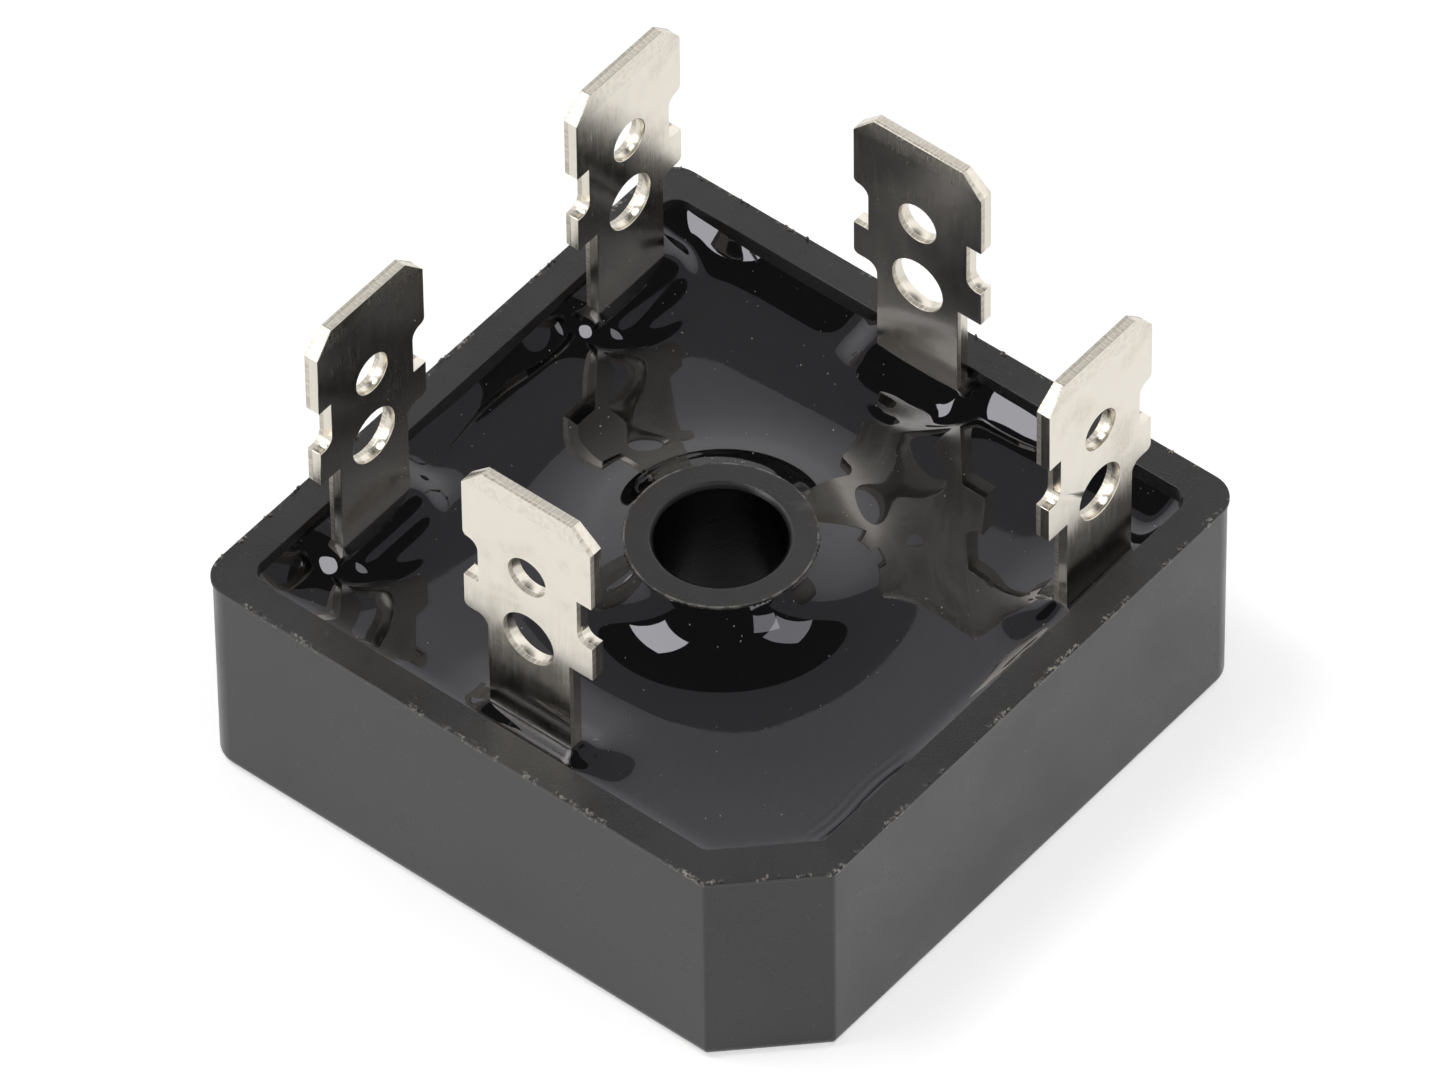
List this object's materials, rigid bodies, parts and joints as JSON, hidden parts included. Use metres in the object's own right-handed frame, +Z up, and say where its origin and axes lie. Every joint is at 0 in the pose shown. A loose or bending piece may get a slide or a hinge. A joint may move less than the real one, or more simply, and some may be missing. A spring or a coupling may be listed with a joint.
{
  "type": "bridge rectifier",
  "caption": "Square potted bridge rectifier with a chamfered corner, a through mounting hole and upright blade terminals for push-on connectors.",
  "frame": {"origin": "centre of the mounting hole on the mounting surface", "axes": "+Z up along the mounting hole, away from the heat sink; the chamfered corner points to +X -Y"},
  "size_m": [0.0286, 0.0286, 0.0217],
  "materials": {
    "case_plastic": "moulded thermoset, matte dark charcoal",
    "plate_aluminium": "bare rolled",
    "ceramic_sheet": "unglazed alumina",
    "copper_foil": "bonded copper foil",
    "silicon_chip": "passivated silicon",
    "copper_strap": "stamped copper",
    "plated_blade": "nickel plated, satin",
    "potting_resin": "cast epoxy, glossy black"
  },
  "bodies": {
    "root": {"case": "case_plastic", "base_plate": "plate_aluminium", "substrate": "ceramic_sheet", "positive_foil": "copper_foil", "negative_foil": "copper_foil", "diode_a_plus": "silicon_chip", "diode_a_minus": "silicon_chip", "diode_b_plus": "silicon_chip", "diode_b_minus": "silicon_chip", "diode_c_plus": "silicon_chip", "diode_c_minus": "silicon_chip", "strap_a": "copper_strap", "strap_b": "copper_strap", "strap_c": "copper_strap", "terminal_a": "plated_blade", "terminal_b": "plated_blade", "terminal_c": "plated_blade", "terminal_plus": "plated_blade", "terminal_minus": "plated_blade", "resin_filling": "potting_resin"}
  },
  "joints": []
}
